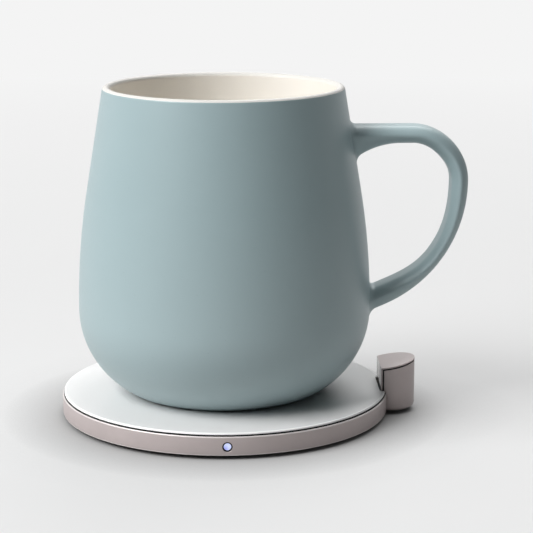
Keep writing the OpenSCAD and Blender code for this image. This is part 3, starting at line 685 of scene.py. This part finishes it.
def addHandle(bm):
    low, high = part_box("handle")
    thick = handle["thickness"]
    half, nose = thick / 2.0, (high.y - low.y) / 2.0
    shoulder = nose - handle["ridgeRun"]
    armZ = high.z - half
    turnX = high.x - half
    bendX = turnX - handle["upperBend"]
    turnZ = armZ - handle["upperBend"]
    lowerX = turnX - handle["lowerBend"]
    across = bm.verts.layers.float.new("across")
    through = bm.verts.layers.float.new("through")

    # section of the strap: flat faces, rounded sides and a soft ridge along the middle of each side
    middles = [shoulder * share for share in (-0.4, -0.2, 0.0, 0.2, 0.4)]
    points = [(-nose, 0.0), (-shoulder, -half)] + [(y, -half) for y in middles] + [(shoulder, -half), (nose, 0.0)]
    points += [(shoulder, half)] + [(-y, half) for y in middles] + [(-shoulder, half)]
    corners = [bm.verts.new((bendX, y, armZ + n)) for y, n in points]
    bm.faces.new(corners)
    known = set(bm.verts[:]) - set(corners)
    easeCorners(bm, [vert for vert in corners if abs(abs(vert.co.y) - shoulder) < closeness["pick"]],
                handle["sideEase"], 9)
    ridges = [vert for vert in bm.verts if vert not in known and abs(vert.co.y) > nose - closeness["pick"]]
    easeCorners(bm, ridges, handle["ridgeEase"], 3)
    section = [vert for vert in bm.verts if vert not in known]
    faces = list({face for vert in section for face in vert.link_faces})
    bmesh.ops.delete(bm, geom=faces, context="FACES_ONLY")
    ring = list({edge for vert in section for edge in vert.link_edges})
    for vert in section:
        vert[across] = vert.co.y
        vert[through] = (vert.co.z - armZ) * (1.0 - handle["crown"] * (vert.co.y / nose) ** 2)

    def grow(edges, place):
        made = bmesh.ops.extrude_edge_only(bm, edges=edges)["geom"]
        fresh = set(vertsOf(made))
        for vert in fresh:
            vert.co = place(vert[across], vert[through])
        return [edge for edge in edgesOf(made) if edge.verts[0] in fresh and edge.verts[1] in fresh]

    def letOut(y, n, depth, ease):
        # the section at a depth, let out all round by ease
        tall = half - (half - n) * depth / thick
        return y * (1.0 + ease / nose), tall + 2.0 * ease * n / thick

    def flareDrop(x, n):
        run = max(bendX - handle["flareIn"] - x, 0.0)
        fall = handle["rootFlare"] - math.sqrt(handle["rootFlare"] ** 2 - run ** 2)
        return fall * max(0.0, -n / half)

    def onArm(x, ease=0.0):
        def place(y, n):
            wide, tall = letOut(y, n, handle["armDepth"], ease)
            return x, wide, armZ + tall - flareDrop(x, n)
        return place

    def onUpperBend(angle):
        halfway = angle / (math.pi / 4.0)
        depth = easeBetween(handle["armDepth"], handle["bendDepth"], halfway)
        depth = easeBetween(depth, handle["sideDepth"], halfway - 1.0)

        def place(y, n):
            reach = handle["upperBend"] + letOut(y, n, depth, 0.0)[1]
            return bendX + reach * math.sin(angle), y, turnZ + reach * math.cos(angle)
        return place

    def lowerDepth(angle):
        depth = easeBetween(handle["sideDepth"], handle["lowDepth"], angle / handle["thinnestAt"])
        share = (angle - handle["thickensAt"]) / (handle["lowerSweep"] - handle["thickensAt"])
        return easeBetween(depth, handle["rootDepth"], share)

    def onLowerBend(angle):
        def place(y, n):
            reach = handle["lowerBend"] + letOut(y, n, lowerDepth(angle), 0.0)[1]
            return lowerX + reach * math.cos(angle), y, turnZ - reach * math.sin(angle)
        return place

    def onUpperRoot(gap, ease):
        def place(y, n):
            x = mugRadius(armZ) + gap
            for closingIn in range(8):
                spot = Vector(onArm(x, ease)(y, n))
                x = math.sqrt(mugRadius(spot.z) ** 2 - spot.y ** 2) + gap
            return x, spot.y, spot.z
        return place

    def onLowerRoot(gap, ease):
        sweep = handle["lowerSweep"]
        outward = Vector((math.cos(sweep), 0.0, -math.sin(sweep)))
        onward = Vector((-math.sin(sweep), 0.0, -math.cos(sweep)))

        def place(y, n):
            wide, tall = letOut(y, n, handle["rootDepth"], ease)
            spot = Vector((lowerX, wide, turnZ)) + outward * (handle["lowerBend"] + tall)
            for closingIn in range(8):
                spot = spot + onward * (math.hypot(spot.x, spot.y) - mugRadius(spot.z) - gap)
            return spot
        return place

    def fillet(edges, root):
        # quarter round onto the wall, then a short run inside it and a cap
        for step in range(handle["filletSteps"] + 1):
            share = step / handle["filletSteps"]
            angle = share * rightAngle
            gap = handle["fillet"] * (1.0 - math.sin(angle)) - handle["filletEnd"] * share
            edges = grow(edges, root(gap, handle["fillet"] * (1.0 - math.cos(angle))))
        edges = grow(edges, root(-handle["sunk"], handle["fillet"]))
        bmesh.ops.edgeloop_fill(bm, edges=edges)

    for vert in section:
        vert.co = onArm(bendX)(vert[across], vert[through])
    inner = outer = ring
    armRun = mugRadius(armZ) + handle["fillet"] - bendX
    for share in (0.15, 0.28, 0.4, 0.5, 0.6, 0.7, 0.79, 0.87):
        inner = grow(inner, onArm(bendX + armRun * share))
    fillet(inner, onUpperRoot)

    for step in range(1, handle["upperSteps"] + 1):
        outer = grow(outer, onUpperBend(step / handle["upperSteps"] * rightAngle))
    for step in range(1, handle["lowerSteps"] + 1):
        outer = grow(outer, onLowerBend(step / handle["lowerSteps"] * handle["lowerSweep"]))
    fillet(outer, onLowerRoot)


shell = lathe(mugShellProfile(), mug["turns"])
addHandle(shell)
faceOutwards(shell)
addPiece("mugShell", shell, "mug", "blue_glaze", ("mug_body", "handle"))
addPiece("mugLining", lathe(liningProfile(), mug["turns"]), "mug", "cream_glaze", ("inner_lining",))
print("mug made")

# Shapes that several dock pieces share
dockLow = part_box("rim_ring")[0].z
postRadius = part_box("post_housing")[1].y
postSlant = Vector((-math.sin(post["slope"]), 0.0, math.cos(post["slope"])))
postEdge = Vector((post["faceX"], 0.0, post["faceTop"]))
cutterLow = -1.0 * mm            # cutters start a little under the table


def postPrism(inset, low, high):
    # the post's plan, drawn in by inset, as an upright prism
    bm = bmesh.new()
    bmesh.ops.create_circle(bm, cap_ends=True, segments=post["turns"], radius=postRadius - inset)
    moveAll(bm, (post["roundX"], 0.0, low))
    cutAway(bm, (post["faceX"] + inset, 0.0, 0.0), (-1.0, 0.0, 0.0), fill=False)
    raiseFace(bm, (0.0, 0.0, high - low))
    return bm


def postRoom():
    return postPrism(-post["gap"], cutterLow, 3.0 * post["faceTop"])


def postBlock(inset, low, ease, turn=0.0):
    # the post as a block under its sloping top, its facets turned a little where it cuts another
    r = postRadius - inset
    tall = 2.0 * post["faceTop"]
    bm, tip = startProfile(0.0, low)
    tip = lineTo(bm, tip, (r - ease, low))
    if ease > 0.0:
        tip = arcTo(bm, tip, (r - ease, low + ease), rightAngle, 8)
    lineTo(bm, tip, (r, tall), (0.0, tall))
    lathe(bm, post["turns"])
    turnAll(bm, Matrix.Rotation(turn, 3, "Z"))
    moveAll(bm, (post["roundX"], 0.0, 0.0))
    cutAway(bm, (post["faceX"] + inset, 0.0, 0.0), (-1.0, 0.0, 0.0))
    cutAway(bm, postEdge - postSlant * inset, postSlant)
    faceOutwards(bm)
    return bm


def upright(radius, x, y, low, high, segments=40):
    bm = bmesh.new()
    bmesh.ops.create_cone(bm, cap_ends=True, segments=segments, radius1=radius, radius2=radius, depth=high - low)
    moveAll(bm, (x, y, (low + high) / 2.0))
    return bm


def roundedRing(inner, outer, low, high, ease):
    # ring section with eased corners
    bm, tip = startProfile(inner + ease, low)
    for end, corner in (((outer - ease, low), (outer - ease, low + ease)),
                        ((outer, high - ease), (outer - ease, high - ease)),
                        ((inner + ease, high), (inner + ease, high - ease)),
                        ((inner, low + ease), (inner + ease, low + ease))):
        tip = lineTo(bm, tip, end)
        tip = arcTo(bm, tip, corner, rightAngle, 5)
    return bm


# Plate, gasket and rim, all cut round the post
plate = {
    "edgeThick": 0.6 * mm,
    "thick": 1.6 * mm,
    "ease": 0.45 * mm,
    "underEase": 0.08 * mm,
    "innerRadius": 47.65 * mm,
    "turns": 224,
}


def plateProfile():
    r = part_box("top_plate")[1].x
    edgeLow, low = plateTop - plate["edgeThick"], plateTop - plate["thick"]
    bm, tip = startProfile(0.0, plateTop)
    tip = lineTo(bm, tip, *[(r * share, plateTop) for share in (0.3, 0.6, 0.9)], (r - plate["ease"], plateTop))
    tip = arcTo(bm, tip, (r - plate["ease"], plateTop - plate["ease"]), -rightAngle, 6)
    lineTo(bm, tip, (r, edgeLow + plate["underEase"]), (r - plate["underEase"], edgeLow),
           (plate["innerRadius"], edgeLow), (plate["innerRadius"], low), (0.0, low))
    return bm


addPiece("dockPlate", lathe(plateProfile(), plate["turns"]), "dock", "white_plate", ("top_plate",),
         cutters=[postRoom()])

gasket = {"width": 1.4 * mm, "ease": 0.1 * mm}
gasketLow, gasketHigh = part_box("plate_gasket")
gasketRing = roundedRing(gasketHigh.y - gasket["width"], gasketHigh.y, gasketLow.z, gasketHigh.z, gasket["ease"])
addPiece("plateGasket", lathe(gasketRing, plate["turns"]), "dock", "black_rubber", ("plate_gasket",),
         cutters=[postRoom()])

# Rim with the lens hole in its front
rim = {"thick": 2.0 * mm, "ease": 0.26 * mm, "holeRadius": 1.48 * mm, "sinkRadius": 1.53 * mm, "sink": 0.05 * mm,
       "holeDepth": 5.0 * mm, "holeOut": 2.0 * mm, "holeTurns": 48}
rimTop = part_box("rim_ring")[1].z
rimRadius = -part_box("rim_ring")[0].y
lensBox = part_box("indicator_lens")
lensMiddle = (lensBox[0] + lensBox[1]) / 2.0


def latheInRim(bm, y):
    # lathes a profile and lays it along -Y on the lens's line, its zero at y
    lathe(bm, rim["holeTurns"])
    turnAll(bm, Matrix.Rotation(rightAngle, 3, "X"))
    moveAll(bm, (lensMiddle.x, y, lensMiddle.z))
    return bm


def lensBore():
    # the hole and its small countersink
    depth, end = rim["holeDepth"], rim["holeDepth"] + rim["holeOut"]
    bm, tip = startProfile(0.0, 0.0)
    lineTo(bm, tip, (rim["holeRadius"], 0.0), (rim["holeRadius"], depth - rim["sink"]), (rim["sinkRadius"], depth),
           (rim["sinkRadius"], end), (0.0, end))
    return latheInRim(bm, depth - rimRadius)


rimRing = roundedRing(rimRadius - rim["thick"], rimRadius, dockLow, rimTop, rim["ease"])
addPiece("dockRim", lathe(rimRing, plate["turns"]), "dock", "mauve_metal", ("rim_ring",),
         cutters=[postRoom(), lensBore()])

# Indicator lens, gently domed, in a dark sleeve that stops short of the rim's face
lens = {"radius": 1.08 * mm, "dome": 0.16 * mm, "length": 3.2 * mm, "steps": 6, "sleeve": 1.2 * mm,
        "back": 0.3 * mm, "room": 0.01 * mm}


def lensBody():
    r, dome = lens["radius"], lens["dome"]
    bend = (r ** 2 + dome ** 2) / (2.0 * dome)
    bm, tip = startProfile(0.0, -lens["length"])
    tip = lineTo(bm, tip, (r, -lens["length"]), (r, -dome))
    arcTo(bm, tip, (0.0, -bend), math.asin(r / bend), lens["steps"])
    return latheInRim(bm, lensBox[0].y)


def lensSleeve():
    inner, outer = lens["radius"] + lens["room"], rim["holeRadius"] - lens["room"]
    bm, first = startProfile(inner, 0.0)
    tip = lineTo(bm, first, (outer, 0.0), (outer, lens["sleeve"]), (inner, lens["sleeve"]))
    bm.edges.new((tip, first))
    return latheInRim(bm, lens["sleeve"] + lens["back"] - rimRadius)


addPiece("indicatorLens", lensBody(), "dock", "lit_lens", ("indicator_lens",))
addPiece("lensSleeve", lensSleeve(), "dock", "black_rubber")
print("plate, gasket, rim and lens made")

# Inlet in the post's back: drawn steel shell, tongue on its block, and the contact strips
shellLow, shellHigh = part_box("usb_shell")
inlet = {
    "x": (shellLow.x + shellHigh.x) / 2.0,
    "z": (shellLow.z + shellHigh.z) / 2.0,
    "width": shellHigh.x - shellLow.x,
    "height": shellHigh.z - shellLow.z,
    "room": 0.15 * mm,
    "mouth": 12.0 * mm,
    "sheet": 0.3 * mm,
    "sheetEase": 0.08 * mm,
    "tongue": (0.7 * mm, 4.5 * mm, 6.7 * mm),
    "tongueEase": 0.12 * mm,
    "block": 1.6 * mm,
    "contact": (0.06 * mm, 3.6 * mm, 0.26 * mm),
    "contactMiddle": 2.0 * mm,
    "contacts": 12,
    "pitch": 0.5 * mm,
    "turns": 48,
}


def obround(grow, y, length):
    # the inlet's upright slot shape, let out by grow in width and height, run along +Y
    width, height = inlet["width"] + grow, inlet["height"] + grow
    bm = bmesh.new()
    bmesh.ops.create_circle(bm, cap_ends=True, segments=inlet["turns"], radius=width / 2.0)
    turnAll(bm, Matrix.Rotation(rightAngle, 3, "X") @ Matrix.Rotation(math.pi / inlet["turns"], 3, "Z"))
    for side in (-1.0, 1.0):
        half = [vert for vert in bm.verts if vert.co.z * side > 0.0]
        bmesh.ops.translate(bm, verts=half, vec=(0.0, 0.0, side * (height - width) / 2.0))
    moveAll(bm, (inlet["x"], y, inlet["z"]))
    raiseFace(bm, (0.0, length, 0.0))
    return bm


def postBody():
    # the post's block with a slot under its top edge and beside its flat face
    sharp, near, onRound = math.radians(40.0), 0.02 * mm, 0.1 * mm
    bm = postBlock(0.0, dockLow, post["footEase"])
    seam = (post["seamStart"], post["seamStart"] + post["seamWidth"])
    for depth in seam:
        sliceAt(bm, postEdge - postSlant * depth, postSlant)
        sliceAt(bm, postEdge + Vector((depth, 0.0, 0.0)), (1.0, 0.0, 0.0))

    def inSeam(face):
        centre = face.calc_center_median()
        around = Vector((centre.x - post["roundX"], centre.y, 0.0))
        if abs(around.length - postRadius) > onRound or centre.z < dockLow + post["footEase"]:
            return False
        below = (postEdge - centre).dot(postSlant)
        beside = centre.x - post["faceX"]
        return min(below, beside) > seam[0] and (below < seam[1] or beside < seam[1])

    def onOutline(vert):
        return (postEdge - vert.co).dot(postSlant) < near or vert.co.x < post["faceX"] + near

    band = [face for face in bm.faces if inSeam(face)]
    pushed = vertsOf(bmesh.ops.extrude_face_region(bm, geom=band)["geom"])
    bmesh.ops.delete(bm, geom=band, context="FACES")
    shrink = 1.0 - post["seamDepth"] / postRadius
    bmesh.ops.scale(bm, verts=pushed, vec=(shrink, shrink, 1.0),
                    space=Matrix.Translation((-post["roundX"], 0.0, 0.0)))
    faceOutwards(bm)
    outline = [edge for edge in bm.edges if edge.calc_face_angle(0.0) > sharp
               and not any(vert in pushed for vert in edge.verts) and all(onOutline(vert) for vert in edge.verts)]
    easeEdges(bm, outline, post["edgeEase"], 3, clamp=True)
    closeMesh(bm)
    return bm


addPiece("postHousing", postBody(), "dock", "mauve_metal", ("post_housing",),
         cutters=[postBlock(post["wall"], cutterLow, 0.0, math.pi / post["turns"]),
                  obround(2.0 * inlet["room"], 0.0, inlet["mouth"])])


def postFloor():
    low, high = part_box("post_cover")
    bm = postPrism(post["wall"] + post["coverGap"], low.z, high.z)
    lowEdges = [edge for edge in bm.edges if all(vert.co.z < low.z + closeness["pick"] for vert in edge.verts)]
    easeEdges(bm, lowEdges, post["coverEase"], 2)
    return bm


addPiece("postCover", postFloor(), "dock", "black_plastic", ("post_cover",))


def inletShell():
    def endFaces():
        return [face for face in bm.faces if len(face.verts) > 8]

    bm = obround(0.0, shellLow.y, shellHigh.y - shellLow.y)
    bmesh.ops.inset_individual(bm, faces=endFaces(), thickness=inlet["sheet"])
    ends = endFaces()
    loops = [edge for face in ends for edge in face.edges]
    bmesh.ops.delete(bm, geom=ends, context="FACES_ONLY")
    bmesh.ops.bridge_loops(bm, edges=loops)
    closeMesh(bm)
    rims = [edge for edge in bm.edges if edge.calc_face_angle(0.0) > math.radians(60.0)]
    easeEdges(bm, rims, inlet["sheetEase"], 2)
    return bm


def inletTongue():
    bm = obround(-2.0 * inlet["sheet"], shellLow.y, inlet["block"])
    middleY = shellLow.y + inlet["block"] + inlet["tongue"][1] / 2.0
    boxAt(bm, inlet["tongue"], (inlet["x"], middleY, inlet["z"]), inlet["tongueEase"])
    return bm


def inletContacts():
    middleY = shellLow.y + inlet["block"] + inlet["contactMiddle"]
    bm = bmesh.new()
    for index in range(inlet["contacts"]):
        z = inlet["z"] + (index - (inlet["contacts"] - 1) / 2.0) * inlet["pitch"]
        for side in (-1.0, 1.0):
            boxAt(bm, inlet["contact"], (inlet["x"] + side * (inlet["tongue"][0] / 2.0), middleY, z))
    return bm


addPiece("inletShell", inletShell(), "dock", "steel", ("usb_shell",))
addPiece("inletTongue", inletTongue(), "dock", "black_plastic", ("usb_tongue",))
addPiece("inletContacts", inletContacts(), "dock", "copper")
print("post and inlet made")

# Underside of the dock: cover, ribbed pad and the screws
underside = {
    "coverThick": 1.4 * mm,
    "coverEase": 0.3 * mm,
    "coverTurns": 192,
    "padEase": 0.5 * mm,
    "padTurns": 160,
    "padGrooves": (15.0 * mm, 26.0 * mm, 35.5 * mm),
    "grooveWidth": 1.6 * mm,
    "grooveDepth": 0.35 * mm,
    "grooveSlope": 0.25 * mm,
    "screwRing": 44.6 * mm,
    "screwAngles": (60.0, 180.0, 300.0),
    "postScrews": [(45.4 * mm, -4.3 * mm), (45.4 * mm, 4.3 * mm)],
    "headRadius": 1.4 * mm,
    "headHeight": 0.7 * mm,
    "headEase": 0.3 * mm,
    "headRoom": 0.2 * mm,
    "shank": 0.7 * mm,
    "recess": (1.5 * mm, 0.34 * mm, 0.9 * mm),
}
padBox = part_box("base_pad")
padRadius = padBox[1].y
coverScrews = [(underside["screwRing"] * math.cos(math.radians(angle)),
                underside["screwRing"] * math.sin(math.radians(angle))) for angle in underside["screwAngles"]]


def coverProfile():
    r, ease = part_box("bottom_cover")[1].y, underside["coverEase"]
    top = dockLow + underside["coverThick"]
    bm, tip = startProfile(0.0, top)
    tip = lineTo(bm, tip, (r, top), (r, dockLow + ease))
    tip = arcTo(bm, tip, (r - ease, dockLow + ease), -rightAngle, 4)
    lineTo(bm, tip, (padRadius, dockLow), (padRadius, padBox[1].z), (0.0, padBox[1].z))
    return bm


def screwHoles():
    room = underside["headRadius"] + underside["headRoom"]
    return [upright(room, x, y, cutterLow, dockLow + underside["headHeight"])
            for x, y in coverScrews + underside["postScrews"]]


addPiece("dockCover", lathe(coverProfile(), underside["coverTurns"]), "dock", "black_plastic", ("bottom_cover",),
         cutters=[postRoom()] + screwHoles())


def groovePoints(middle, width, slope, low, depth):
    inner, outer = middle - width / 2.0, middle + width / 2.0
    return (inner - slope, low), (inner, low + depth), (outer, low + depth), (outer + slope, low)


def padProfile():
    low, top, ease = padBox[0].z, padBox[1].z, underside["padEase"]
    bm, tip = startProfile(0.0, low)
    for middle in underside["padGrooves"]:
        tip = lineTo(bm, tip, *groovePoints(middle, underside["grooveWidth"], underside["grooveSlope"], low,
                                            underside["grooveDepth"]))
    tip = lineTo(bm, tip, (padRadius - ease, low))
    tip = arcTo(bm, tip, (padRadius - ease, low + ease), rightAngle, 6)
    lineTo(bm, tip, (padRadius, top), (0.0, top))
    return bm


addPiece("basePad", lathe(padProfile(), underside["padTurns"]), "dock", "grey_rubber", ("base_pad",))


def addScrews(name, places, top, replaced):
    # pan heads with a cross recess, heads down
    head, ease, shank = underside["headRadius"], underside["headEase"], underside["shank"]
    long, short, deep = underside["recess"]
    headTop = dockLow + underside["headHeight"]
    bm = bmesh.new()
    bars = (bmesh.new(), bmesh.new())
    for x, y in places:
        one, tip = startProfile(0.0, dockLow)
        tip = lineTo(one, tip, (head - ease, dockLow))
        tip = arcTo(one, tip, (head - ease, dockLow + ease), rightAngle, 5)
        lineTo(one, tip, (head, headTop), (shank, headTop), (shank, top), (0.0, top))
        lathe(one, 40)
        moveAll(one, (x, y, 0.0))
        mesh = toMesh(one, "screw")
        bm.from_mesh(mesh)
        bpy.data.meshes.remove(mesh)
        for bar, size in zip(bars, ((long, short, deep), (short, long, deep))):
            boxAt(bar, size, (x, y, dockLow))
    addPiece(name, bm, "dock", "steel", replaced, cutters=bars)


addScrews("coverScrews", coverScrews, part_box("cover_screws")[1].z, ("cover_screws",))
addScrews("postScrews", underside["postScrews"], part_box("post_screws")[1].z, ("post_screws",))

# Underside of the mug: moulded base cap and the soft foot ring
mugFoot = {"capThick": 1.5 * mm, "capEase": 0.35 * mm, "grooveRadius": 17.5 * mm, "grooveWidth": 0.9 * mm,
           "grooveSlope": 0.2 * mm, "grooveDepth": 0.3 * mm, "dishRadius": 6.0 * mm, "dishSlope": 0.3 * mm,
           "dishDepth": 0.25 * mm, "ringEase": 0.28 * mm, "turns": 144}


def capProfile():
    capLow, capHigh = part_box("base_cap")
    r, low, ease = capHigh.x, capLow.z, mugFoot["capEase"]
    top, dish = low + mugFoot["capThick"], low + mugFoot["dishDepth"]
    bm, tip = startProfile(0.0, dish)
    tip = lineTo(bm, tip, (mugFoot["dishRadius"] - mugFoot["dishSlope"], dish), (mugFoot["dishRadius"], low),
                 *groovePoints(mugFoot["grooveRadius"], mugFoot["grooveWidth"], mugFoot["grooveSlope"], low,
                               mugFoot["grooveDepth"]),
                 (r - ease, low))
    tip = arcTo(bm, tip, (r - ease, low + ease), rightAngle, 5)
    lineTo(bm, tip, (r, top), (0.0, top))
    return bm


addPiece("mugBaseCap", lathe(capProfile(), mugFoot["turns"]), "mug", "black_plastic", ("base_cap",))
footRing = roundedRing(footBox[1].x - mug["ringWidth"], footBox[1].x, footBox[0].z, footBox[1].z, mugFoot["ringEase"])
addPiece("mugFootRing", lathe(footRing, mugFoot["turns"]), "mug", "grey_rubber", ("mug_foot_ring",))
print("underside made")

# Camera at the photograph's viewing angle
camera = {
    "place": (-0.00654, -0.55355, 0.16672),
    "pitch": 0.216,                    # downwards, radians
    "yaw": math.radians(-2.0),
    "lens": 125.68,
    "sensor": 36.0,
    "nearest": 0.01,
}
view = bpy.data.objects.new("camera", bpy.data.cameras.new("camera"))
view.location = camera["place"]
view.rotation_euler = (rightAngle - camera["pitch"], 0.0, camera["yaw"])
view.data.lens = camera["lens"]
view.data.sensor_width = camera["sensor"]
view.data.clip_start = camera["nearest"]
bpy.context.collection.objects.link(view)
bpy.context.scene.camera = view

# Soft studio light: a large key on the left, a weak one behind on the right and a little from overhead
lamps = {
    "key": {"place": (-1.578, -0.770, 1.637), "aim": (0.0, 0.0, 0.05), "size": 1.5, "power": 76.5},
    "overhead": {"place": (0.0, 0.05, 2.2), "aim": (0.0, 0.05, 0.0), "size": 2.2, "power": 8.0},
    "back": {"place": (0.45, 1.47, 1.84), "aim": (0.0, 0.0, 0.05), "size": 1.2, "power": 19.0},
}
for name, lamp in lamps.items():
    light = bpy.data.objects.new(name, bpy.data.lights.new(name, "AREA"))
    light.data.shape = "SQUARE"
    light.data.size = lamp["size"]
    light.data.energy = lamp["power"]
    light.location = lamp["place"]
    light.rotation_euler = (Vector(lamp["aim"]) - light.location).to_track_quat("-Z", "Y").to_euler()
    bpy.context.collection.objects.link(light)

# Pale surroundings, at full strength only where the camera or a reflection sees them
studio = {
    "white": (1.0, 1.0, 1.0, 1.0),
    "ambient": 0.02,
    "backdrop": 0.905,
    "frontGlow": 0.12,             # share of the backdrop that reflections find on the camera's side
    "turnsAt": (-0.2, 0.3),
    "floor": (0.25, 0.25, 0.25),
    "floorCloud": 0.02,
    "floorRough": 0.85,
    "floorFine": 700.0,
    "floorSoft": 5.0,
    # floor glow: dimmed near the dock as a painted contact shadow, with a share of it lighting the object in place of
    # bounced light
    "floorLift": 0.485,
    "floorGlowShare": 0.55,
    "nearShade": 0.034,
    "shadePower": 2.4,
    "fadeStart": 0.22,
    "fadeEnd": 0.9,
    "floorHalf": 6.0,
}
world = bpy.context.scene.world or bpy.data.worlds.new("studio")
bpy.context.scene.world = world
world.use_nodes = True
sky = world.node_tree
path = addNode(sky, "ShaderNodeLightPath")
heading = addNode(sky, "ShaderNodeTexCoord")
aim = addNode(sky, "ShaderNodeSeparateXYZ")
sky.links.new(heading.outputs["Generated"], aim.inputs[0])
behind = mapRange(sky, aim.outputs["Y"], studio["frontGlow"], 1.0, *studio["turnsAt"])
mirrored = calc(sky, "MAXIMUM", path.outputs["Is Glossy Ray"], path.outputs["Is Transmission Ray"])
seen = calc(sky, "MAXIMUM", path.outputs["Is Camera Ray"], calc(sky, "MULTIPLY", mirrored, behind))
background = setInputs(sky.nodes["Background"], Color=studio["white"])
feed(sky, background, Strength=mapRange(sky, seen, studio["ambient"], studio["backdrop"]))


def paleFloor():
    # lit near the object, where it takes the lamps' shadow, its glow dimmed by ambient occlusion as a painted contact
    # shadow round the dock and partly lighting the object from below in place of bounced light, and fading to the plain
    # backdrop further off
    material, tree, shader = newMaterial("paleFloor")
    grain = useGroup(tree, sharedGrain, Fine=studio["floorFine"], Soft=studio["floorSoft"])
    light = tuple(studio["floorCloud"] + part for part in studio["floor"])
    far = mapRange(tree, axisReach(tree), 0.0, 1.0, studio["fadeStart"], studio["fadeEnd"])
    path = addNode(tree, "ShaderNodeLightPath")
    seen = calc(tree, "MAXIMUM", path.outputs["Is Camera Ray"], path.outputs["Is Glossy Ray"])
    seen = calc(tree, "MAXIMUM", seen, path.outputs["Is Transmission Ray"])
    # painted contact shadow: the floor's glow falls off with ambient occlusion near the dock
    contactShadeAO = setInputs(addNode(tree, "ShaderNodeAmbientOcclusion", samples=12), Distance=studio["nearShade"])
    lift = calc(tree, "POWER", contactShadeAO.outputs["AO"], studio["shadePower"])
    lift = calc(tree, "MULTIPLY", lift, studio["floorLift"])
    shown = calc(tree, "MAXIMUM", seen, studio["floorGlowShare"])
    setInputs(shader, Roughness=studio["floorRough"], Emission_Color=studio["white"])
    feed(tree, shader, Base_Color=mixColour(tree, grain.outputs["Cloud"], studio["floor"], light),
         Emission_Strength=calc(tree, "MULTIPLY", shown, lift))
    glow = setInputs(addNode(tree, "ShaderNodeEmission"), Color=studio["white"], Strength=studio["backdrop"])
    blend = addNode(tree, "ShaderNodeMixShader")
    for socket, source in zip(blend.inputs, (calc(tree, "MULTIPLY", far, seen), shader.outputs[0], glow.outputs[0])):
        tree.links.new(source, socket)
    feed(tree, tree.nodes["Material Output"], Surface=blend.outputs[0])
    return material


floorBm = bmesh.new()
bmesh.ops.create_grid(floorBm, x_segments=8, y_segments=8, size=studio["floorHalf"])
floor = bpy.data.objects.new("floor", toMesh(floorBm, "floor"))
floor.data.materials.append(paleFloor())
bpy.context.collection.objects.link(floor)
print("studio made")

# Carried-over nodes take the finish of their slot
nodeFinishes = {
    "amber_film": ("heating_film",),
    "copper": ("heater_track", "receiver_coil", "transmitter_coil"),
    "black_parts": ("mug_sensor", "receiver_chip", "rectifier_diodes", "plate_sensor", "control_chip",
                    "bridge_transistors"),
    "felt": ("insulation_pad",),
    "red_sleeve": ("heater_leads", "power_leads"),
    "green_board": ("receiver_board", "main_board", "inlet_board"),
    "ferrite": ("receiver_ferrite", "dock_ferrite", "power_inductor"),
    "red_silicone": ("base_seal",),
    "white_plastic": ("coil_carrier", "status_light"),
    "tan_ceramic": ("tank_capacitors",),
}
for slotName, names in nodeFinishes.items():
    for name in names:
        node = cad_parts[name]
        node.data.materials.clear()
        node.data.materials.append(finishes[slotName])
print("carried-over nodes finished")

bpy.context.scene.view_settings.view_transform = "Standard"
